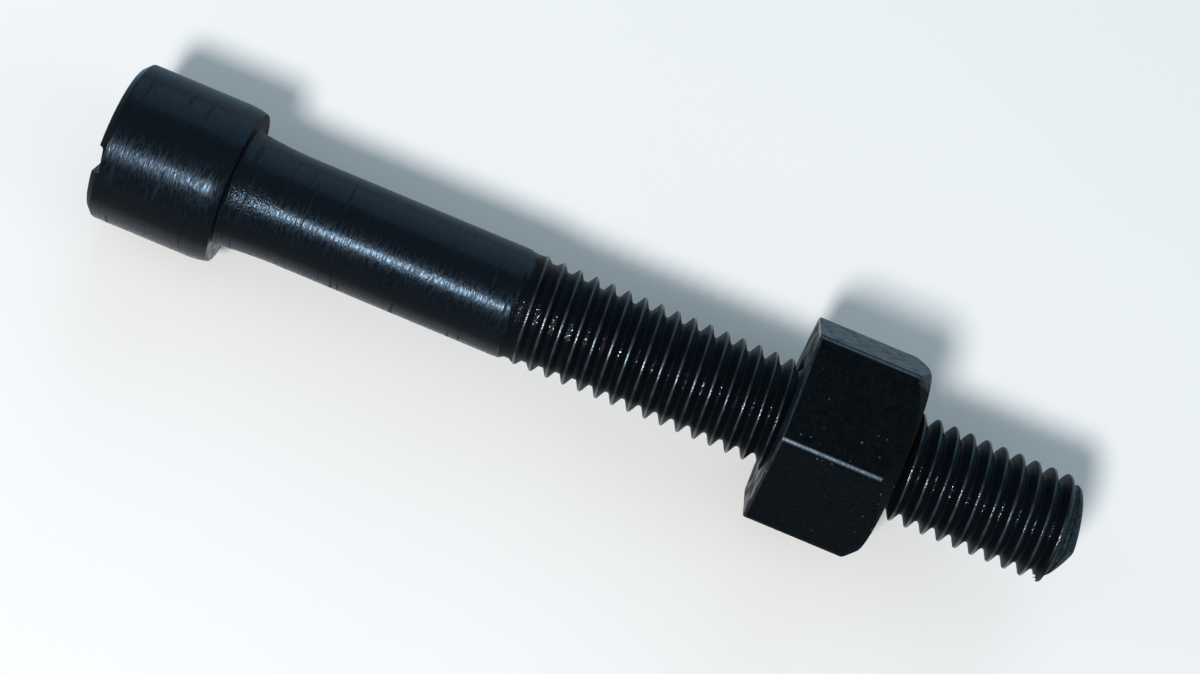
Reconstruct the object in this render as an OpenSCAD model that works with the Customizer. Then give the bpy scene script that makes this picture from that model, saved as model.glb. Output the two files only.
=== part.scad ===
// Leaf spring centre bolt: a round-headed, partly threaded bolt with one thick hexagon nut run onto it.
// The bolt's axis is X. The origin is on the axis, in the plane of the seat under the head,
// and the thread points to +X. One flat of the nut faces down, as the bolt lies on a bench.

/* [Head] */
// Diameter of the round head
head_d = 18.2; // [16:0.1:24]
// Height of the head, from the seat to its end
head_h = 14.35; // [8:0.05:20]
// Width of the 45 degree chamfer round the end of the head
head_chamfer = 0.8; // [0.3:0.05:1.5]
// How far the side of the head draws in towards the seat
head_draw = 0.33; // [0.1:0.01:0.6]
// Length over which the side of the head draws in
head_draw_len = 2.4; // [1:0.1:4]
// Width of the driver slot across the end of the head
slot_w = 2.9; // [1.5:0.1:4]
// Depth of the driver slot at its middle
slot_depth = 0.85; // [0.6:0.05:3]
// Tilt of the slot, which makes it deeper along one side
slot_tilt = 10; // [0:1:12]
// Turn of the driver slot about the axis
slot_angle = 130; // [0:1:180]

/* [Shank] */
// Diameter of the plain shank
shank_d = 12.52; // [10:0.02:14]
// Length of the bolt under the head
bolt_len = 99.9; // [80:0.1:140]
// Plain length from the seat to the start of the thread
plain_len = 33.2; // [20:0.1:50]
// How far the shank swells out where it meets the seat
swell = 0.5; // [0.2:0.05:0.9]
// Length over which the swelling fades
swell_len = 7; // [3:0.1:12]

/* [Thread] */
// Pitch of the right-hand thread
pitch = 1.954; // [1.25:0.002:2.5]
// Angle between the two flanks of the groove
flank_angle = 60; // [50:1:65]
// Width of the flat on the crest
crest_flat = 0.25; // [0.15:0.01:0.35]
// Width of the flat at the root
root_flat = 0.4; // [0.2:0.01:0.5]
// Step from the shank down to the crests
crest_step = 0.02; // [0.01:0.01:0.1]
// Length that the groove takes to come near its full depth
run_in = 3.8; // [2:0.1:6]
// Turn about the axis at which the groove starts
thread_start_angle = 304; // [0:1:359]
// Length of the rounded tip
tip_len = 2.9; // [2.2:0.1:4]
// How far the rounded tip draws in
tip_draw = 1.3; // [0.4:0.05:1.6]

/* [Nut] */
// Width of the nut across its flats
nut_af = 21.9; // [19:0.1:26]
// Thickness of the nut
nut_h = 13.4; // [8:0.1:16]
// Diameter at which the chamfered end of the nut begins
nut_end_d = 21.3; // [17:0.1:24]
// Radius that rounds the six long edges of the nut
nut_edge_r = 1.2; // [0.4:0.1:2]
// Distance from the outer end of the nut to the end of the bolt
nut_set_back = 21.4; // [5:0.1:30]
// Room between the crests of the thread and the bore of the nut
bore_clearance = 0.1; // [0.05:0.01:0.2]
// Width of the countersink at each mouth of the bore
bore_countersink = 0.6; // [0.3:0.05:1.2]

/* [Hidden] */

$fn = 96;
// Steps in a turn of the thread, and rings over the rounded tip
turn_steps = 36;
tip_rings = 4;
// Where the first of those rings lies, as an angle on the quarter round of the tip
tip_first_angle = 30;
// Points along each drawn-in or swelling curve
curve_steps = 8;
// Turn between the points that round an edge of the nut
edge_step = 10;
// Overlap that joins or clears two shapes
lap = 1;

shank_r = shank_d / 2;
head_r = head_d / 2;
crest_r = shank_r - crest_step;
thread_depth = (pitch - crest_flat - root_flat) / 2 / tan(flank_angle / 2);
tip_start = bolt_len - tip_len;
// The groove starts and stops as a nick this long
nick = 0.3;
// The groove stops where the tip has begun to round, and fades over this length before it
groove_stop = tip_start + nick;
fade_len = pitch / 2;
groove_steps = floor((groove_stop - plain_len) / pitch * turn_steps);

nut_x = bolt_len - nut_set_back - nut_h;
nut_r = nut_af / 2 / cos(30);
bore_r = crest_r + bore_clearance;

// A point at a place along the axis, a radius and a turn about the axis
function around(x, r, turn) = [x, r * cos(turn), r * sin(turn)];

// Radius of the bolt's skin over the thread, with its rounded tip
function skin_r(x) =
    x <= tip_start ? crest_r : crest_r - tip_draw * (1 - sqrt(1 - pow(min(1, (x - tip_start) / tip_len), 2)));

// Depth of the groove whose middle is at x: it deepens from the shank and fades before the tip
function groove_depth(x) =
    thread_depth * (1 - exp(-(x - plain_len + nick) / run_in)) * min(1, (groove_stop - x + nick) / fade_len);

// The four corners of the groove at one step: upper edge, the two sides of the root, upper edge
function groove_corners(step) =
    let (turn = thread_start_angle + 360 * step / turn_steps)
    let (x = plain_len + pitch * step / turn_steps)
    let (depth = groove_depth(x))
    let (half_mouth = root_flat / 2 + depth * tan(flank_angle / 2))
    [
        around(x - half_mouth, skin_r(x - half_mouth), turn),
        around(x - root_flat / 2, min(crest_r - depth, skin_r(x - root_flat / 2)), turn),
        around(x + root_flat / 2, min(crest_r - depth, skin_r(x + root_flat / 2)), turn),
        around(x + half_mouth, skin_r(x + half_mouth), turn)
    ];

// One ring of points round the axis, in step with the groove
function ring(x, r) = [for (i = [0 : turn_steps - 1]) around(x, r, thread_start_angle + 360 * i / turn_steps)];

// Two triangles for the patch between four points
function patch(a, b, c, d) = [[a, b, c], [a, c, d]];

// The threaded length with its rounded tip: one closed skin whose groove is a true right-hand helix
module threaded_length() {
    start_ring = ring(plain_len - lap, crest_r);
    grooves = [for (i = [0 : groove_steps]) each groove_corners(i)];
    tip_step = (90 - tip_first_angle) / (tip_rings - 1);
    tip = [
        for (a = [tip_first_angle : tip_step : 90])
            each ring(tip_start + tip_len * sin(a), crest_r - tip_draw * (1 - cos(a)))
    ];
    n = turn_steps;
    last = groove_steps;
    // Index of a point on the start ring, of a groove corner and of a point on a tip ring
    function at_start(i) = i % n;
    function corner(i, k) = n + 4 * i + k;
    function at_tip(i, k) = n + 4 * (last + 1) + n * k + i % n;
    skin = [
        // The end disc inside the shank
        [for (i = [0 : n - 1]) at_start(i)],
        // The plain band before the first turn, which closes on the start of the groove
        for (i = [0 : n - 2]) each patch(at_start(i), corner(i, 0), corner(i + 1, 0), at_start(i + 1)),
        [at_start(n - 1), corner(n - 1, 0), corner(n, 0)],
        [at_start(n - 1), corner(n, 0), corner(0, 3)],
        [at_start(n - 1), corner(0, 3), corner(0, 0)],
        [at_start(n - 1), corner(0, 0), at_start(0)],
        // The groove: two flanks and the root between its end walls
        each patch(corner(0, 0), corner(0, 3), corner(0, 2), corner(0, 1)),
        for (i = [0 : last - 1], k = [0 : 2])
            each patch(corner(i, k), corner(i, k + 1), corner(i + 1, k + 1), corner(i + 1, k)),
        each patch(corner(last, 0), corner(last, 1), corner(last, 2), corner(last, 3)),
        // The crest, from each turn of the groove to the next
        for (i = [0 : last - n - 1])
            each patch(corner(i, 3), corner(i + n, 0), corner(i + n + 1, 0), corner(i + 1, 3)),
        // The plain band after the last turn
        for (i = [last - n + 1 : last - 1])
            each patch(corner(i, 3), at_tip(i, 0), at_tip(i + 1, 0), corner(i + 1, 3)),
        [corner(last - n + 1, 3), corner(last - n, 3), corner(last, 0)],
        [corner(last - n + 1, 3), corner(last, 0), corner(last, 3)],
        [corner(last - n + 1, 3), corner(last, 3), at_tip(last, 0)],
        [corner(last - n + 1, 3), at_tip(last, 0), at_tip(last + 1, 0)],
        // The rounded tip and its flat end
        for (k = [0 : tip_rings - 2], i = [0 : n - 1])
            each patch(at_tip(i, k), at_tip(i, k + 1), at_tip(i + 1, k + 1), at_tip(i + 1, k)),
        [for (i = [n - 1 : -1 : 0]) at_tip(i, tip_rings - 1)]
    ];
    polyhedron(concat(start_ring, grooves, tip), skin);
}

// Half section of the head and the plain shank, as radius and place along the axis
head_and_shank = [
    [0, -head_h],
    [head_r - head_chamfer, -head_h],
    [head_r, -head_h + head_chamfer],
    for (i = [0 : curve_steps])
        [head_r - head_draw * pow(i / curve_steps, 2), -head_draw_len * (1 - i / curve_steps)],
    for (i = [0 : curve_steps])
        [shank_r + swell * pow(1 - i / curve_steps, 2), swell_len * i / curve_steps],
    [shank_r, plain_len],
    [0, plain_len]
];

// The bolt: headed, turned and rolled from one bar
module center_bolt() {
    color("#22282e")
        union() {
            difference() {
                rotate([0, 90, 0])
                    rotate_extrude()
                        polygon(head_and_shank);
                rotate([slot_angle, 0, 0])
                    translate([-head_h, 0, 0])
                        rotate([0, slot_tilt, 0])
                            translate([-lap, -head_r - lap, -slot_w / 2])
                                cube([lap + slot_depth, head_d + 2 * lap, slot_w]);
            }
            threaded_length();
        }
}

// The hexagon with its corners rounded: each corner is an arc that is tangent to the two flats beside it
nut_hexagon = [
    for (k = [0 : 5], turn = [-30 : edge_step : 30])
        let (corner = 60 * k + 30)
        (nut_r - nut_edge_r / cos(30)) * [cos(corner), sin(corner)]
            + nut_edge_r * [cos(corner + turn), sin(corner + turn)]
];

// Half section of the round outline that chamfers the outer end of the nut, with its bore left out
nut_section = [
    [bore_r + bore_countersink, 0],
    [nut_r + lap, 0],
    [nut_r + lap, nut_h + nut_end_d / 2 - nut_r - lap],
    [nut_end_d / 2, nut_h],
    [bore_r + bore_countersink, nut_h],
    [bore_r, nut_h - bore_countersink],
    [bore_r, bore_countersink]
];

// The nut: a hexagon with a flat bearing face towards the head and a chamfered outer end
module hex_nut() {
    color("#1c2126")
        translate([nut_x, 0, 0])
            rotate([0, 90, 0])
                intersection() {
                    linear_extrude(nut_h)
                        polygon(nut_hexagon);
                    rotate_extrude()
                        polygon(nut_section);
                }
}

center_bolt();
hex_nut();
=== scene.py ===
import math

import bpy
from mathutils import Matrix, Vector
from mathutils import noise as random_field


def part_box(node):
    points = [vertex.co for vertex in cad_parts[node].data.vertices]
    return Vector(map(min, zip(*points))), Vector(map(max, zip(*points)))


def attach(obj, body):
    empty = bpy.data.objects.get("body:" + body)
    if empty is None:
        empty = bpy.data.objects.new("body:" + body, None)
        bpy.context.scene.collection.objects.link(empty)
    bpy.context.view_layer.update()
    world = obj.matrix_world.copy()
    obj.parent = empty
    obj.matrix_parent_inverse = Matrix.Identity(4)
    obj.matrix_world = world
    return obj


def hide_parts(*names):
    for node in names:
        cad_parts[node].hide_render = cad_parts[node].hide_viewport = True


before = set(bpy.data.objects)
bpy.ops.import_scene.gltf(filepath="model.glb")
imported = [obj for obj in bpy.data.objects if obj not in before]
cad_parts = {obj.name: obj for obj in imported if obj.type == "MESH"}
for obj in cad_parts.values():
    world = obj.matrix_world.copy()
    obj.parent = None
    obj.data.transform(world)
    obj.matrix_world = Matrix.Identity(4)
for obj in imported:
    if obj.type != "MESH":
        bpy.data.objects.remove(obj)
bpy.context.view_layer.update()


# The bolt's blank: one bar of carbon steel, headed under a press and turned to size. The head draws
# in to a crisp rim at the seat, the shank swells where it meets the seat, and the far end steps down
# to a rounded point that is narrower than the nut's thread, so that a nut starts easily.
MM = 0.001
TURN = 2 * math.pi
SIDES = 144
CLEAR = 1 * MM
MERGE = 1e-3 * MM
DRAW_STEPS = 6
SWELL_STEPS = 8
POINT_STEP = 10

bolt_low, bolt_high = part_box("center_bolt")
head_end = bolt_low.x
bolt_end = bolt_high.x
head_r = bolt_high.z
head_chamfer = 0.8 * MM
head_edge = 0.15 * MM
head_draw = 0.33 * MM
head_draw_len = 2.4 * MM
seat_rim = 0.12 * MM
seat_fillet = 0.25 * MM
shank_r = 6.26 * MM
swell = 0.5 * MM
swell_len = 7 * MM
plain_len = 33.2 * MM
crest_r = 6.24 * MM
crest_slope = 0.1 * MM
shoulder = bolt_end - 1.7 * MM
shoulder_len = 0.8 * MM
shoulder_drop = 0.08 * MM
point_r = 5.42 * MM
point_len = 1.35 * MM
point_draw = 0.75 * MM
point_edge = 0.1 * MM


def around(x, r, turn):
    """The point at a place along the bolt's axis, a radius and a turn about the axis."""
    return Vector((x, r * math.cos(turn), r * math.sin(turn)))


def soften(corners, steps=4):
    """The line through these corners, each a place, a radius and how far it is rounded."""
    line = []
    for i, (x, r, rounding) in enumerate(corners):
        corner = Vector((x, r))
        if not rounding:
            line.append(corner)
            continue
        before = corner + (Vector(corners[i - 1][:2]) - corner).normalized() * rounding
        after = corner + (Vector(corners[i + 1][:2]) - corner).normalized() * rounding
        for k in range(steps + 1):
            t = k / steps
            line.append(before * (1 - t) ** 2 + corner * (2 * t * (1 - t)) + after * t ** 2)
    return line


def draw_line(name, points, closed=False):
    """A new object that is one chain of edges through the points, drawn by pulling out a vertex."""
    bpy.ops.object.select_all(action="DESELECT")
    bpy.ops.mesh.primitive_plane_add(size=CLEAR)
    piece = bpy.context.object
    piece.name = name
    bpy.ops.object.mode_set(mode="EDIT")
    bpy.ops.mesh.select_mode(type="VERT")
    bpy.ops.mesh.merge(type="CENTER")
    bpy.ops.transform.translate(value=points[0])
    for here, there in zip(points, points[1:]):
        bpy.ops.mesh.extrude_vertices_move(TRANSFORM_OT_translate={"value": there - here})
    if closed:
        bpy.ops.object.mode_set(mode="OBJECT")
        ends = [v for v in piece.data.vertices if (v.co - points[0]).length < MERGE]
        ends[0].select = True
        bpy.ops.object.mode_set(mode="EDIT")
        bpy.ops.mesh.edge_face_add()
    bpy.ops.mesh.select_all(action="SELECT")
    return piece


def close_up():
    """Merges what meets, turns the faces outwards and leaves edit mode."""
    bpy.ops.mesh.select_all(action="SELECT")
    bpy.ops.mesh.remove_doubles(threshold=MERGE)
    bpy.ops.mesh.normals_make_consistent(inside=False)
    bpy.ops.object.mode_set(mode="OBJECT")


def turned(name, corners):
    """A solid turned about the bolt's axis from its half outline."""
    piece = draw_line(name, [around(x, r, 0) for x, r in soften(corners)])
    bpy.ops.mesh.spin(steps=SIDES, angle=TURN, center=(0, 0, 0), axis=(1, 0, 0))
    close_up()
    return piece


def work(piece, tool, operation):
    """Cuts a tool's shape out of a piece, or keeps only what is inside it, and puts the tool away."""
    bpy.context.view_layer.objects.active = piece
    step = piece.modifiers.new(operation.lower(), "BOOLEAN")
    step.object = tool
    step.operation = operation
    step.solver = "MANIFOLD"
    bpy.ops.object.modifier_apply(modifier=step.name)
    bpy.data.objects.remove(tool)


draw_curve = [
    (-head_draw_len * (1 - i / DRAW_STEPS), head_r - head_draw * (i / DRAW_STEPS) ** 2, 0)
    for i in range(DRAW_STEPS)
]
swell_curve = [
    (swell_len * i / SWELL_STEPS, shank_r + swell * (1 - i / SWELL_STEPS) ** 2, 0)
    for i in range(1, SWELL_STEPS + 1)
]
point_curve = [
    (bolt_end - point_len * (1 - math.sin(a)), point_r - point_draw * (1 - math.cos(a)), 0)
    for a in [math.radians(d) for d in range(0, 90, POINT_STEP)]
]
center_bolt = turned(
    "bolt",
    [
        (head_end, 0, 0),
        (head_end, head_r - head_chamfer, head_edge),
        (head_end + head_chamfer, head_r, head_edge),
        *draw_curve,
        (0, head_r - head_draw, seat_rim),
        (0, shank_r + swell, seat_fillet),
        *swell_curve,
        (plain_len - crest_slope, shank_r, 0),
        (plain_len, crest_r, 0),
        (shoulder - shoulder_len, crest_r, 0),
        (shoulder, crest_r - shoulder_drop, point_edge),
        *point_curve,
        (bolt_end, point_r - point_draw, point_edge),
        (bolt_end, 0, 0),
    ],
)


# The driver slot: milled straight across the end of the head, so that a blade can hold the bolt
# while the nut is tightened. It is cut a little askew, and its lips are rounded by use.
slot_w = 2.9 * MM
slot_depth = 0.85 * MM
slot_turn = math.radians(130)
slot_tilt = math.radians(10)
slot_foot = 0.2 * MM
slot_lip = 0.2 * MM
# Heights on the lip and how much wider the slot is there, both in sizes of the lip
lip_curve = [(-1, 0), (-0.4, 0.4), (0, 1.6)]


def cutter(name, widths, length):
    """A straight tool along Y: a strip that is pulled up through heights, each with its width."""
    bpy.ops.object.select_all(action="DESELECT")
    bpy.ops.mesh.primitive_plane_add(size=1)
    piece = bpy.context.object
    piece.name = name
    bpy.ops.object.mode_set(mode="EDIT")
    bpy.ops.transform.resize(value=(widths[0][1], length, 1))
    bpy.ops.transform.translate(value=(0, 0, widths[0][0]))
    for (low, narrow), (high, wide) in zip(widths, widths[1:]):
        bpy.ops.mesh.extrude_region_move(TRANSFORM_OT_translate={"value": (0, 0, high - low)})
        bpy.ops.transform.resize(value=(wide / narrow, 1, 1))
    close_up()
    return piece


lip_widths = [(slot_lip * high, slot_w + slot_lip * wider) for high, wider in lip_curve]
slot_tool = cutter(
    "slot_tool",
    [
        (-slot_depth, slot_w - 2 * slot_foot),
        (-slot_depth + slot_foot, slot_w),
        *lip_widths,
        (CLEAR, lip_widths[-1][1]),
    ],
    2 * (head_r + CLEAR),
)
slot_tool.data.transform(
    Matrix.Translation((head_end, 0, 0))
    @ Matrix.Rotation(slot_turn, 4, "X")
    @ Matrix.Rotation(slot_tilt - TURN / 4, 4, "Y")
)
work(center_bolt, slot_tool, "DIFFERENCE")


# The thread: one right-hand groove that runs in out of the shank over a few turns and then is full
# until it runs out over the point. Its root and its crests are a little rounded.
TURN_STEPS = 96
ROOT_REACH = 60
ROOT_STEP = 20
pitch = 1.954 * MM
half_mouth = 0.852 * MM
half_angle = math.radians(30)
root_r = 0.33 * MM
run_in = 3.8 * MM
nick = 0.3 * MM
crest_room = 0.05 * MM
thread_turn = math.radians(304)
# Points on the rounded edge of a crest: how far outside the groove's mouth and below the crest
crest_edge = [(0.06 * MM, 0), (-0.002 * MM, 0.03 * MM), (-0.052 * MM, 0.09 * MM)]


def groove_line(mouth_r):
    """The section of the thread tool, as offsets along the axis and radii."""
    apex_r = mouth_r - half_mouth / math.tan(half_angle)
    centre_r = apex_r + root_r / math.sin(half_angle)
    side = [(half_mouth + out, mouth_r - below) for out, below in crest_edge]
    side.insert(0, (side[0][0], mouth_r + CLEAR))
    root = [
        (root_r * math.sin(a), centre_r - root_r * math.cos(a))
        for a in [math.radians(d) for d in range(ROOT_REACH, -ROOT_REACH - 1, -ROOT_STEP)]
    ]
    return side + root + [(-x, r) for x, r in reversed(side)]


def swept(name, section, start, turns):
    """A tool whose section runs along a right-hand helix from a place on the axis."""
    turn = thread_turn + TURN * (start - plain_len) / pitch
    line = [around(start + x, r, turn) for x, r in section]
    piece = draw_line(name, line, closed=True)
    bpy.ops.object.mode_set(mode="OBJECT")
    sweep = piece.modifiers.new("sweep", "SCREW")
    sweep.axis = "X"
    sweep.angle = TURN
    sweep.screw_offset = pitch
    sweep.iterations = turns
    sweep.steps = TURN_STEPS
    sweep.render_steps = TURN_STEPS
    bpy.ops.object.modifier_apply(modifier=sweep.name)
    bpy.ops.object.mode_set(mode="EDIT")
    bpy.ops.mesh.select_all(action="SELECT")
    bpy.ops.mesh.fill_holes(sides=0)
    close_up()
    return piece


def groove_middle(point):
    """Where on the axis the middle of the groove is that passes this point."""
    turn = math.atan2(point.z, point.y) - thread_turn
    return plain_len + pitch * (turn / TURN + round((point.x - plain_len) / pitch - turn / TURN))


thread_start = plain_len - pitch / 4
groove_turns = math.ceil((bolt_end + pitch / 2 - thread_start) / pitch)
thread_tool = swept("thread_tool", groove_line(crest_r), thread_start, groove_turns)
full_depth = half_mouth / math.tan(half_angle) - root_r
clear_r = crest_r + crest_room
tool_depth = clear_r - crest_r + full_depth
for vertex in thread_tool.data.vertices:
    middle = groove_middle(vertex.co)
    share = 1 - math.exp(-max(0, middle - plain_len + nick) / run_in)
    vertex_r = math.hypot(vertex.co.y, vertex.co.z)
    lifted = max(vertex_r, clear_r - tool_depth * share) / vertex_r
    vertex.co.y *= lifted
    vertex.co.z *= lifted
work(center_bolt, thread_tool, "DIFFERENCE")


# The cut end: the bar was sheared a little askew before it was threaded, so the point leans back on
# one side and is cut away more steeply on the other, where the last crest is chipped.
shear_slope = 0.15
shear_ridge = 1.3 * MM
cut_slope = 0.33
cut_ridge = 1.8 * MM
shear_from = 98.3 * MM
hub_r = 3 * MM
dent_depth = 0.1 * MM
dent_size = 1.1 * MM
chip_size = 0.3 * MM
chip_length = 6 * MM
chip_slant = math.radians(10)
# Each chip's place along the axis, its radius and how far it is twisted in degrees
chips = [(97.7 * MM, 5.66 * MM, 15), (97.86 * MM, 6 * MM, 50), (98 * MM, 6.3 * MM, 30)]
# The side that is cut away and chipped
near_side = Vector((0, -0.9426, -0.3338))
chip_turn = math.atan2(near_side.z, near_side.y)


def ramp(value, low, high):
    """How far a value has come from low to high, from 0 to 1."""
    return min(1, max(0, (value - low) / (high - low)))


for vertex in center_bolt.data.vertices:
    if vertex.co.x < shear_from:
        continue
    side = vertex.co.dot(near_side)
    vertex_r = math.hypot(vertex.co.y, vertex.co.z)
    on_point = ramp(vertex.co.x, shear_from, bolt_end)
    if vertex_r > hub_r:
        dent = max(0, random_field.noise(vertex.co / dent_size)) * dent_depth
        vertex.co.y *= 1 - dent / vertex_r
        vertex.co.z *= 1 - dent / vertex_r
    lean_back = shear_slope * max(0, shear_ridge - side) + cut_slope * max(0, side - cut_ridge)
    vertex.co.x -= lean_back * on_point
for chip_x, chip_r, twist in chips:
    bpy.ops.mesh.primitive_cube_add(size=1)
    chip = bpy.context.object
    chip.data.transform(
        Matrix.Translation(around(chip_x, chip_r, chip_turn))
        @ Matrix.Rotation(chip_turn, 4, "X")
        @ Matrix.Rotation(chip_slant, 4, "Y")
        @ Matrix.Rotation(math.radians(twist), 4, "Z")
        @ Matrix.Diagonal((chip_size, chip_size, chip_length, 1))
    )
    work(center_bolt, chip, "DIFFERENCE")


# The bolt's finish: a thin blue-black oxide with a pale bloom at low angles, cut back on the lower side
# as painted shade. Turning has left rings and fine streaks on the head and shank. On the thread the
# crests are rubbed bright, left dark on the upper side as painted shade, and oil stands in drops that
# are set only where the lamp's glint falls, painted glints. The seat and a band along the lower side
# are made dull as painted shade, and the cut end is barer and mottled.
SHARP_ANGLE = 35
oxide_dark = (0.0022, 0.0034, 0.0048)
oxide_pale = (0.0036, 0.005, 0.0068)
oxide_tint = (0.48, 0.72, 1, 1)
bare_dark = (0.004, 0.008, 0.011)
bare_pale = (0.023, 0.035, 0.042)
crest_dark = (0.003, 0.0045, 0.006)
crest_pale = (0.008, 0.0105, 0.013)
crest_tint = (0.66, 0.85, 1, 1)
oil_tint = (0.75, 0.88, 1, 1)
bolt_bloom_tint = (0.3, 0.68, 1, 1)
# Where the rubbing starts along the thread, how ragged that is, and how deep on a crest it goes
rub_start = plain_len + 0.9 * MM
rub_full = plain_len + 1.4 * MM
rub_ragged = 1.5 * MM
rub_low_r = crest_r - 0.07 * MM
rub_high_r = crest_r - 0.02 * MM
# Where the bare end starts, how much later it does on the cut side, and how ragged its border is
bare_start = 97.85 * MM
bare_full = 98.05 * MM
bare_slant = 0.49 * MM
bare_ragged = 0.3 * MM
# The stretch of thread over which the drops of oil get more, and how high they stand in the groove
oil_start = 46 * MM
oil_full = 60 * MM
oil_low = 0.15 * MM
oil_high = 0.3 * MM
# The seat's flat, made dull all but at its lowest side as painted shade, and the faced end of the head
# with its chamfer
seat_start_r = 6.95 * MM
seat_full_r = 7.1 * MM
seat_rim_low = -0.12 * MM
seat_rim_high = -0.05 * MM
faced_full = head_end + 0.7 * MM
faced_stop = head_end + 0.9 * MM
# Where the scores by the slot fade, where the grain under the head does, and where the fillet ends
scored_near = head_end + 2 * MM
scored_far = head_end + 5 * MM
grainy_full = 2 * MM
grainy_stop = 8 * MM
fillet_end = 0.3 * MM
# The strip along the bolt where the drops of oil are set so that they catch the lamp, painted glints,
# and the band below it that is made dull, painted shade, as shares of the radius
glint_middle = 0.06
glint_full = 0.12
glint_stop = 0.26
band_start = 0.48
band_full = 0.64
band_fade = 0.75
band_stop = 0.89
# The heights of the fine marks
turning_depth = 0.022 * MM
crest_depth = 0.02 * MM
flank_depth = 0.04 * MM
drop_height = 0.06 * MM


class Tone:
    """A socket of a finish: sums with it add Math nodes, and node() adds any other node."""

    def __init__(self, tree, socket=None):
        self.tree = tree
        self.socket = socket

    def node(self, kind, settings=(), inputs=(), output=0):
        made = self.tree.nodes.new("ShaderNode" + kind)
        for name, value in dict(settings).items():
            setattr(made, name, value)
        for name, value in dict(inputs).items():
            self.feed(made.inputs[name], value)
        return Tone(self.tree, made.outputs[output] if made.outputs else None)

    def feed(self, target, value):
        if isinstance(value, Tone):
            self.tree.links.new(value.socket, target)
        else:
            target.default_value = value

    def math(self, operation, first, second=0):
        return self.node("Math", {"operation": operation}, {0: first, 1: second})

    def __add__(self, other):
        return self.math("ADD", self, other)

    __radd__ = __add__

    def __sub__(self, other):
        return self.math("SUBTRACT", self, other)

    def __rsub__(self, other):
        return self.math("SUBTRACT", other, self)

    def __mul__(self, other):
        return self.math("MULTIPLY", self, other)

    __rmul__ = __mul__


def start_finish(name):
    """A new finish with an empty tree of nodes, and the place on the piece that it is for."""
    material = bpy.data.materials.new(name)
    material.use_nodes = True
    material.node_tree.nodes.clear()
    tone = Tone(material.node_tree)
    return material, tone, tone.node("TexCoord", output="Object")


def noise(tone, place, along, across, detail):
    """A soft random pattern with this many waves to the metre along the axis and across it."""
    stretched = tone.node("Mapping", {}, {"Vector": place, "Scale": (along, across, across)})
    return tone.node("TexNoise", {}, {"Vector": stretched, "Scale": 1, "Detail": detail})


def cells(tone, place, waves, output):
    """A pattern of round cells, this many to the metre."""
    return tone.node("TexVoronoi", {}, {"Vector": place, "Scale": waves}, output=output)


def rise(tone, value, low, high):
    """A mask that rises softly from 0 to 1 as the value goes from low to high."""
    return tone.node(
        "MapRange",
        {"interpolation_type": "SMOOTHSTEP"},
        {"Value": value, "From Min": low, "From Max": high},
        output="Result",
    )


def between(tone, value, start, full, fade, stop):
    """A mask that is 1 from full to fade, and 0 before the start and past the stop."""
    return rise(tone, value, start, full) * rise(tone, value, stop, fade)


def blend(tone, share, first, second):
    """One colour turning into another. Each is a socket, or red, green and blue."""
    first, second = (c if isinstance(c, Tone) else (*c, 1) for c in (first, second))
    inputs = {"Factor": share, "A": first, "B": second}
    return tone.node("Mix", {"data_type": "RGBA"}, inputs, output="Result")


def coat(tone, sockets):
    """A coat of the finish, with these sockets set or fed."""
    return tone.node("BsdfPrincipled", {}, sockets)


def layer(tone, share, under, over):
    """One coat over another, by its share."""
    return tone.node("MixShader", {}, {0: share, 1: under, 2: over})


def relief(tone, height, depth, strength=1):
    """The normal of a surface with fine marks of this depth."""
    inputs = {"Height": height, "Strength": strength, "Distance": depth}
    return tone.node("Bump", {}, inputs)


def towards(tone, place, direction):
    """How far a point is from the bolt's axis in a direction."""
    inputs = {0: place, 1: direction}
    return tone.node("VectorMath", {"operation": "DOT_PRODUCT"}, inputs, output="Value")


def axis_radius(tone, place):
    """How far a point is from the bolt's axis."""
    flat = tone.node("VectorMath", {"operation": "MULTIPLY"}, {0: place, 1: (0, 1, 1)})
    return tone.node("VectorMath", {"operation": "LENGTH"}, {0: flat}, output="Value")


def along_axis(tone, place):
    """Where a point is along the bolt's axis."""
    return tone.node("SeparateXYZ", {}, {"Vector": place}, output="X")


def low_angle(tone):
    """How far a surface is turned away from the eye, from 0 to 1."""
    return tone.node("LayerWeight", {}, {"Blend": 0.5}, output="Facing")


def smooth(piece):
    """Smooth shading with the sharp edges kept, and flat faces kept flat."""
    bpy.ops.object.select_all(action="DESELECT")
    piece.select_set(True)
    bpy.context.view_layer.objects.active = piece
    bpy.ops.object.shade_smooth_by_angle(angle=math.radians(SHARP_ANGLE))
    even = piece.modifiers.new("even", "WEIGHTED_NORMAL")
    even.keep_sharp = True
    bpy.ops.object.modifier_apply(modifier=even.name)


def put_on(piece, material, tone, shader):
    """Gives a finished material to a piece."""
    tone.node("OutputMaterial", {}, {"Surface": shader})
    piece.data.materials.clear()
    piece.data.materials.append(material)


smooth(center_bolt)
bolt_steel, tone, place = start_finish("bolt_steel")
along = along_axis(tone, place)
radius = axis_radius(tone, place)
lower = tone.math("DIVIDE", towards(tone, place, near_side), radius)

# Marks of turning on the head and shank, grainier just under the head
rings = noise(tone, place, along=5500, across=250, detail=1)
streaks = noise(tone, place, along=4200, across=1600, detail=1)
hairlines = rise(tone, noise(tone, place, along=7000, across=1100, detail=1), 0.36, 0.64)
near_slot = rise(tone, along, scored_far, scored_near)
long_marks = noise(tone, place, along=1500, across=100, detail=1)
scores = rise(tone, long_marks + 0.07 * near_slot, 0.66, 0.7)
under_head = rise(tone, along, grainy_stop, grainy_full)
on_shank = (0.4 + 1.7 * under_head) * rise(tone, along, 0, fillet_end)
shank_grain = on_shank * noise(tone, place, along=3800, across=3500, detail=1)

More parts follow.
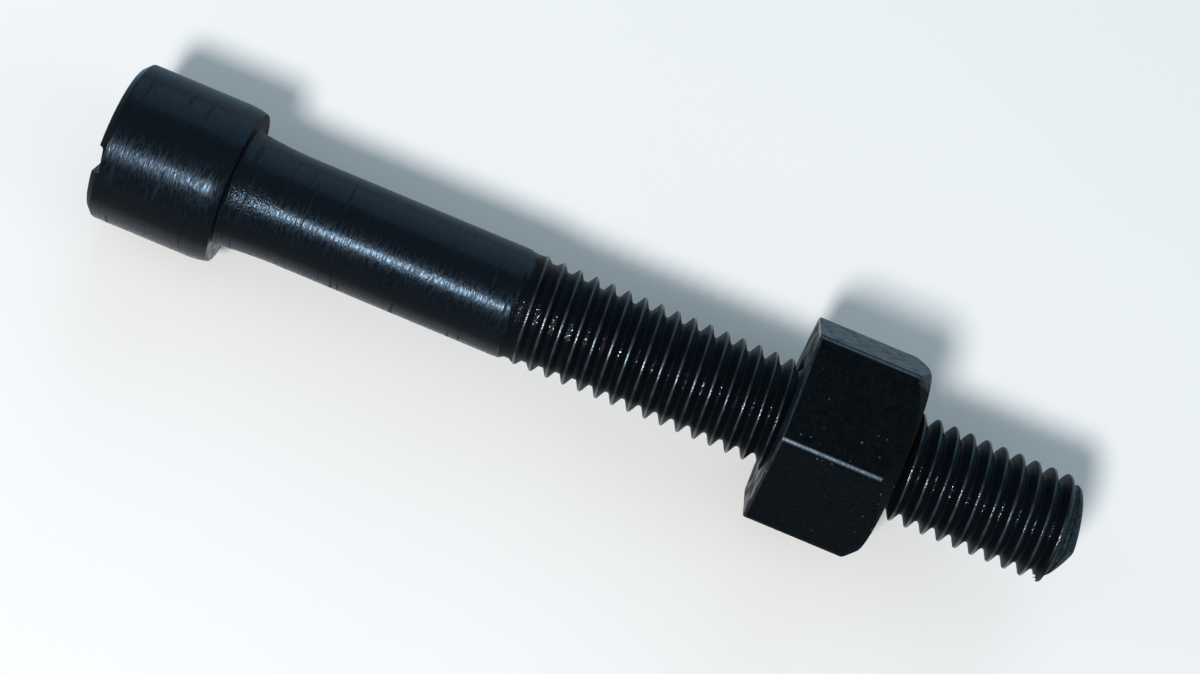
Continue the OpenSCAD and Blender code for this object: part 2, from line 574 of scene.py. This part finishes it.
# Patches of the oxide, and where the crests are rubbed and the end is bare
patches = noise(tone, place, along=300, across=300, detail=3)
beads = noise(tone, place, along=7000, across=7000, detail=2)
mottle = rise(tone, noise(tone, place, along=2300, across=2300, detail=3), 0.35, 0.7)
threaded = rise(tone, along + rub_ragged * patches, rub_start, rub_full)
rubbed = threaded * rise(tone, radius, rub_low_r, rub_high_r)
cut_edge = along - bare_slant * lower + bare_ragged * patches
cut_end = rise(tone, cut_edge, bare_start, bare_full)
oxide = blend(tone, patches, oxide_dark, oxide_pale)
bare = blend(tone, mottle, bare_dark, bare_pale)

# Drops of oil, at the bottom of the groove and on the crests, set only in the strip where the light
# falls: painted glints
deepened = 1 - tone.math("EXPONENT", (along - plain_len) * (-1 / run_in))
above_root = radius - (clear_r - tool_depth * deepened)
plenty = rise(tone, along, oil_start, oil_full)
spots = noise(tone, place, along=5200, across=5200, detail=2)
drops = rise(tone, spots + 0.05 * plenty, 0.54, 0.62)
droplets = cells(tone, place, 3400, "Distance")
painted_glint_strip = rise(tone, tone.math("ABSOLUTE", lower - glint_middle), glint_stop, glint_full)
oil_and_painted_glint = rise(tone, above_root, oil_high, oil_low) * drops * threaded * painted_glint_strip

turning = rings * 0.35 + streaks * 0.65 + shank_grain
skin = coat(
    tone,
    {
        "Base Color": blend(tone, cut_end, oxide, bare),
        "Roughness": 0.165 + (0.2 * hairlines + 0.3 * scores) * (1 - cut_end) + 0.35 * cut_end,
        "Specular IOR Level": 0.21,
        "Specular Tint": oxide_tint,
        "Normal": relief(tone, (1 - cut_end) * turning + cut_end * beads, turning_depth),
    },
)
crest = coat(
    tone,
    {
        "Base Color": blend(tone, beads, crest_dark, crest_pale),
        "Roughness": 0.18 + 0.16 * beads,
        "Specular IOR Level": 1,
        "Specular Tint": crest_tint,
        "Normal": relief(tone, beads, crest_depth),
    },
)
flank = coat(
    tone,
    {
        "Base Color": oxide,
        "Roughness": 0.3 + 0.2 * patches,
        "Specular IOR Level": 0.03,
        "Normal": relief(tone, beads, flank_depth, strength=0.5),
    },
)
oil_film = coat(
    tone,
    {
        "Base Color": oxide,
        "Roughness": 0.05 + 0.07 * patches,
        "Specular IOR Level": 0.8,
        "Specular Tint": oil_tint,
        "Normal": relief(tone, 1 - droplets * droplets, drop_height),
    },
)
bolt_bloom = coat(
    tone,
    {
        "Base Color": oxide,
        "Roughness": 0.5,
        "Specular IOR Level": 0.02,
        "Sheen Weight": 0.3,
        "Sheen Roughness": 0.35,
        "Sheen Tint": bolt_bloom_tint,
    },
)

# The coats laid over each other: rubbed crests on the skin, left off the upper side as painted shade,
# then the dull faces, some of them painted shade, then the bloom
groove = layer(tone, oil_and_painted_glint, flank, oil_film)
oil_and_painted_glint_crest = layer(tone, (0.3 + 0.7 * plenty) * drops * painted_glint_strip, crest, oil_film)
# The rubbed crests are left off the upper side so that they stay dark there: painted shade
painted_shade_upper_side = 0.7 * rise(tone, lower, -0.12, -0.35)
outside = layer(tone, rubbed * (1 - painted_shade_upper_side) * (1 - cut_end), skin, oil_and_painted_glint_crest)
faced_end = rise(tone, along, faced_stop, faced_full)
# A band along the lower side is made dull so that it shows little reflection: painted shade
under_band = between(tone, lower, band_start, band_full, band_fade, band_stop)
painted_shade_underside = 0.8 * under_band * (1 - cut_end)
# The seat is made dull except towards the lower side, so that it stays dark: painted shade
seat = (
    rise(tone, along, seat_rim_low, seat_rim_high)
    * rise(tone, radius, seat_start_r, seat_full_r)
    * rise(tone, lower, 0.9, 0.75)
)
dull = threaded * (1 - rubbed) * (1 - cut_end) + faced_end + seat + painted_shade_underside
shaped = layer(tone, dull, outside, groove)
grazing = 0.9 * rise(tone, low_angle(tone), 0.3, 0.62)
# The bloom's sheen is cut back on the lower side: painted shade
off_lower_side = 1 - 0.7 * rise(tone, lower, 0.4, 0.7)
bloom_share = grazing * (1 - seat) * (1 - 0.8 * threaded) * off_lower_side
put_on(center_bolt, bolt_steel, tone, layer(tone, bloom_share, shaped, bolt_bloom))
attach(center_bolt, "bolt")
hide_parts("center_bolt")


# The nut: a thick hexagon of the same steel, cut from bar, faced flat on its bearing side, chamfered at
# its outer end, then drilled, countersunk and tapped to run on the bolt. Its black oxide is worn bright
# along the edges and in specks, and smeared over the rings that facing left. The worn line is left off
# the near edges as painted shade, and the back face gets a pale sheen that is painted light.
EDGE_SEGMENTS = 6
LIP_SEGMENTS = 3
HEX_HALF = math.radians(30)
# Turns by which the tap starts before the nut, and turns that it has to spare
TAP_LEAD = 1.5
TAP_SPARE = 2
nut_low, nut_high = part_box("hex_nut")
nut_h = nut_high.x - nut_low.x
nut_corner_r = nut_high.z / math.cos(HEX_HALF)
nut_end_r = 10.65 * MM
nut_end_edge = 0.2 * MM
nut_edge = 0.69 * MM
nut_lip = 0.25 * MM
thread_room = 0.1 * MM
core_r = 5.5 * MM
countersink_r = 6.6 * MM
tap_below_core = 0.2 * MM
nut_oxide_dark = (0.002, 0.0031, 0.0042)
nut_oxide_pale = (0.004, 0.0057, 0.0071)
nut_oxide_tint = (0.6, 0.82, 1, 1)
worn_dark = (0.06, 0.085, 0.115)
worn_pale = (0.125, 0.165, 0.21)
bearing_tint = (0.72, 0.88, 1, 1)
back_painted_sheen_tint = (0.66, 0.87, 1, 1)
side_bloom_tint = (0.4, 0.75, 1, 1)
# The worn line along the rounded edges, and from where towards the near side it is left off, so that
# the near edges stay dark: painted shade
worn_start_r = 12.41 * MM
worn_full_r = 12.45 * MM
edge_shade_near = 6 * MM
edge_shade_nearest = 9 * MM
# The painted pale sheen on the back face: the way it faces, where it starts, and how ragged and how
# chamfered its border is
back_side = (0, 0.866, 0.5)
back_start = 11 * MM
back_full = 11.4 * MM
back_ragged = 1.2 * MM
back_chamfer = 0.9 * MM
outer_start = nut_high.x - 2.2 * MM
outer_full = nut_high.x - 0.6 * MM
# How far from its plane the bearing face reaches, and the worn lip round it
faced_depth = 0.02 * MM
faced_edge = 0.06 * MM
lip_start, lip_full, lip_fade, lip_stop = (nut_low.x + d * MM for d in (0.03, 0.1, 0.2, 0.4))
nut_grain_depth = 0.04 * MM
facing_depth = 0.03 * MM


def select_edges(piece, wanted):
    """Selects the edges of a piece that are wanted, by their two ends, and stays in edit mode."""
    bpy.ops.object.mode_set(mode="EDIT")
    bpy.ops.mesh.select_mode(type="EDGE")
    bpy.ops.mesh.select_all(action="DESELECT")
    bpy.ops.object.mode_set(mode="OBJECT")
    for edge in piece.data.edges:
        edge.select = wanted(*(piece.data.vertices[i].co for i in edge.vertices))
    bpy.ops.object.mode_set(mode="EDIT")


bpy.ops.object.select_all(action="DESELECT")
bpy.ops.mesh.primitive_cylinder_add(vertices=6, radius=nut_corner_r, depth=nut_h)
hex_nut = bpy.context.object
hex_nut.name = "nut"
hex_nut.data.transform(
    Matrix.Translation(((nut_low.x + nut_high.x) / 2, 0, 0)) @ Matrix.Rotation(TURN / 4, 4, "Y")
)
select_edges(hex_nut, lambda start, end: abs(end.x - start.x) > nut_h / 2)
bpy.ops.mesh.bevel(offset=nut_edge, segments=EDGE_SEGMENTS, affect="EDGES")
select_edges(hex_nut, lambda start, end: max(start.x, end.x) < nut_low.x + CLEAR)
bpy.ops.mesh.bevel(offset=nut_lip, segments=LIP_SEGMENTS, affect="EDGES")
close_up()
nut_turning = turned(
    "nut_turning",
    [
        (nut_low.x, 0, 0),
        (nut_low.x, nut_corner_r + CLEAR, 0),
        (nut_high.x + nut_end_r - nut_corner_r - CLEAR, nut_corner_r + CLEAR, 0),
        (nut_high.x, nut_end_r, nut_end_edge),
        (nut_high.x, 0, 0),
    ],
)
work(hex_nut, nut_turning, "INTERSECT")
drill = turned(
    "drill",
    [
        (nut_low.x - CLEAR, 0, 0),
        (nut_low.x - CLEAR, countersink_r + CLEAR, 0),
        (nut_low.x + countersink_r - core_r, core_r, 0),
        (nut_high.x - countersink_r + core_r, core_r, 0),
        (nut_high.x + CLEAR, countersink_r + CLEAR, 0),
        (nut_high.x + CLEAR, 0, 0),
    ],
)
work(hex_nut, drill, "DIFFERENCE")
tap_r = crest_r + thread_room
tap_flat = pitch / 2 - half_mouth + thread_room * math.tan(half_angle)
tap_foot_r = core_r - tap_below_core
tap_foot = tap_flat + (tap_r - tap_foot_r) * math.tan(half_angle)
tap_line = [(-tap_foot, tap_foot_r), (-tap_flat, tap_r), (tap_flat, tap_r), (tap_foot, tap_foot_r)]
tap = swept(
    "tap",
    [(pitch / 2 + x, r) for x, r in tap_line],
    nut_low.x - TAP_LEAD * pitch,
    math.ceil(nut_h / pitch) + TAP_SPARE,
)
work(hex_nut, tap, "DIFFERENCE")
smooth(hex_nut)
nut_steel, tone, place = start_finish("nut_steel")
along = along_axis(tone, place)
radius = axis_radius(tone, place)
from_front = towards(tone, place, near_side)
from_back = towards(tone, place, back_side)

# Grain, patches and scuffs of the oxide, and specks of different sizes in some of the patches
grain = noise(tone, place, along=2500, across=2500, detail=2)
nut_patches = noise(tone, place, along=250, across=250, detail=4)
pores = noise(tone, place, along=2600, across=2600, detail=3)
scuffs = noise(tone, place, along=900, across=1600, detail=4)
smears = rise(tone, noise(tone, place, along=420, across=420, detail=4), 0.38, 0.6)
dots = cells(tone, place, 1250, "Distance")
dot_size = tone.node("RGBToBW", {}, {"Color": cells(tone, place, 1250, "Color")})
speckled = rise(tone, nut_patches, 0.48, 0.56) * dot_size
specks = rise(tone, dots, 0.22 * dot_size, 0.1 * dot_size) * speckled

# Wear along the rounded edges, left off the near edges as painted shade, and round the lip of the
# bearing face
off_near_edge_painted_shade = rise(tone, from_front, edge_shade_nearest, edge_shade_near)
worn_edge = rise(tone, radius, worn_start_r, worn_full_r) * off_near_edge_painted_shade
worn_lip = between(tone, along, lip_start, lip_full, lip_fade, lip_stop) * grain
wear = specks + worn_edge * (0.35 + 0.75 * grain) + 0.35 * worn_lip
nut_oxide = blend(tone, rise(tone, pores, 0.3, 0.7), nut_oxide_dark, nut_oxide_pale)
bright = blend(tone, grain, worn_dark, worn_pale)

# The rings that facing has left on the bearing face, as a pattern of the radius alone
outwards = tone.node("CombineXYZ", {}, {"X": radius})
facing_rings = noise(tone, outwards, along=3000, across=1, detail=2)
nut_skin = {
    "Base Color": blend(tone, wear, nut_oxide, bright),
    "Metallic": worn_edge * 0.9,
    "Roughness": 0.24 + 0.16 * nut_patches,
    "Specular IOR Level": 0.02,
    "Specular Tint": nut_oxide_tint,
    "Normal": relief(tone, grain * 0.6 + nut_patches * 0.4, nut_grain_depth, strength=0.5),
}
side_bloom = {
    "Metallic": 0,
    "Specular IOR Level": 0,
    "Sheen Weight": 0.014,
    "Sheen Tint": side_bloom_tint,
}
# The back face's coat: a strong pale sheen on that face alone, painted light
back_painted_sheen = {
    "Metallic": 0,
    "Specular IOR Level": 0,
    "Sheen Weight": 0.68,
    "Sheen Roughness": 0.25,
    "Sheen Tint": back_painted_sheen_tint,
}
bearing_face = {
    "Metallic": 0,
    "Roughness": 0.22 + 0.25 * scuffs,
    "Specular IOR Level": 0.26,
    "Specular Tint": bearing_tint,
    "Normal": relief(tone, facing_rings + 0.6 * scuffs, facing_depth, strength=0.6),
}

# The coats laid over each other: the sides, then the painted pale sheen on the back, then the bearing
# face in smears
nut_side = layer(
    tone,
    rise(tone, low_angle(tone), 0.4, 0.75),
    coat(tone, nut_skin),
    coat(tone, nut_skin | side_bloom),
)
outer_end = rise(tone, along, outer_start, outer_full)
back_border = from_back + back_ragged * scuffs + back_chamfer * outer_end
painted_sheen_at_back = rise(tone, back_border, back_start, back_full)
painted_sheen_share = painted_sheen_at_back * (0.55 + 0.5 * rise(tone, scuffs, 0.36, 0.6))
nut_sides = layer(tone, painted_sheen_share, nut_side, coat(tone, nut_skin | back_painted_sheen))
faced = rise(tone, along, nut_low.x + faced_edge, nut_low.x + faced_depth)
faced_share = faced * (0.2 + 0.7 * smears)
nut_shader = layer(tone, faced_share, nut_sides, coat(tone, nut_skin | bearing_face))
put_on(hex_nut, nut_steel, tone, nut_shader)
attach(hex_nut, "nut")
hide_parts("hex_nut")


# The bench: a plain pale top. The bolt lies on the end of its head and on one flat of the nut,
# so the top is tilted by the little that the head is smaller than the nut.
BENCH_SIZE = 4
bench_dark = (0.89, 0.865, 0.85)
bench_pale = (0.91, 0.885, 0.87)
bench_roughness = 0.8
lean = math.atan2(bolt_low.z - nut_low.z, nut_low.x - (head_end + head_chamfer))
bpy.ops.object.select_all(action="DESELECT")
bpy.ops.mesh.primitive_plane_add(size=BENCH_SIZE)
bench = bpy.context.object
bench.name = "bench"
bench.data.transform(
    Matrix.Translation((nut_low.x, 0, nut_low.z)) @ Matrix.Rotation(lean, 4, "Y")
)
bench_white, tone, place = start_finish("bench_white")
bench_mottle = noise(tone, place, along=30, across=30, detail=3)
bench_colour = blend(tone, bench_mottle, bench_dark, bench_pale)
bench_coat = coat(tone, {"Base Color": bench_colour, "Roughness": bench_roughness})
put_on(bench, bench_white, tone, bench_coat)


# The lamps: one soft lamp above and in front, which makes the bright band along the bolt, two dim
# ones off its ends, a cool one behind it, and the pale light of the room all round.
CAMERA_RISE = math.radians(70.5)
KEY_LEAN = math.radians(17)
ROOM_COLOUR = (0.68, 0.87, 1, 1)
ROOM_LIGHT = 0.28
warm_white = (1, 0.985, 0.965)
cool_white = (0.85, 0.95, 1)
cool_blue = (0.55, 0.83, 1)


def soft_lamp(name, climb, bearing, distance, size, power, colour):
    """A round soft lamp that faces the bolt's middle from a climb above the bench and a bearing."""
    lamp = bpy.data.lights.new(name, "AREA")
    lamp.shape = "DISK"
    lamp.size = size
    lamp.energy = power
    lamp.color = colour
    holder = bpy.data.objects.new(name, lamp)
    bpy.context.scene.collection.objects.link(holder)
    middle = Vector(((head_end + bolt_end) / 2, 0, 0))
    away = Vector(
        (
            math.cos(climb) * math.sin(bearing),
            -math.cos(climb) * math.cos(bearing),
            math.sin(climb),
        )
    )
    holder.location = middle + away * distance
    holder.rotation_euler = away.to_track_quat("Z", "Y").to_euler()


soft_lamp(
    "key_lamp",
    climb=CAMERA_RISE - KEY_LEAN,
    bearing=math.radians(-11),
    distance=0.8,
    size=0.16,
    power=5.5,
    colour=warm_white,
)
end_climb = math.radians(30)
for name, bearing, power in (("head_lamp", -TURN / 4, 0.6), ("tip_lamp", TURN / 4, 0.8)):
    soft_lamp(name, end_climb, bearing, distance=0.9, size=0.5, power=power, colour=cool_white)
soft_lamp(
    "back_lamp",
    climb=math.radians(27),
    bearing=TURN / 2,
    distance=0.7,
    size=0.7,
    power=1.3,
    colour=cool_blue,
)
world = bpy.data.worlds.new("room")
world.use_nodes = True
room = world.node_tree.nodes["Background"]
room.inputs["Color"].default_value = ROOM_COLOUR
room.inputs["Strength"].default_value = ROOM_LIGHT
bpy.context.scene.world = world
bpy.context.scene.view_settings.view_transform = "Standard"


# The camera: looks steeply down across the bolt, turned so that the head is at the upper left.
# It has a long lens and stands about 300 mm from the middle of the bolt.
CAMERA_DISTANCE = 298.6 * MM
CAMERA_ROLL = math.radians(22.664)
CAMERA_LENS = 81
CAMERA_SENSOR = 36
CAMERA_NEAR = 10 * MM
aim = Vector((43.26 * MM, 0.21 * MM, 0.07 * MM))
to_camera = Vector((0, -math.cos(CAMERA_RISE), math.sin(CAMERA_RISE)))
across = Vector((0, math.sin(CAMERA_RISE), math.cos(CAMERA_RISE)))
lengthwise = Vector((1, 0, 0))
right = lengthwise * math.cos(CAMERA_ROLL) + across * math.sin(CAMERA_ROLL)
up = across * math.cos(CAMERA_ROLL) - lengthwise * math.sin(CAMERA_ROLL)
camera = bpy.data.cameras.new("camera")
camera.lens = CAMERA_LENS
camera.sensor_width = CAMERA_SENSOR
camera.clip_start = CAMERA_NEAR
tripod = bpy.data.objects.new("camera", camera)
bpy.context.scene.collection.objects.link(tripod)
tripod.matrix_world = Matrix.Translation(aim + to_camera * CAMERA_DISTANCE) @ Matrix(
    (right, up, to_camera)
).transposed().to_4x4()
bpy.context.scene.camera = tripod
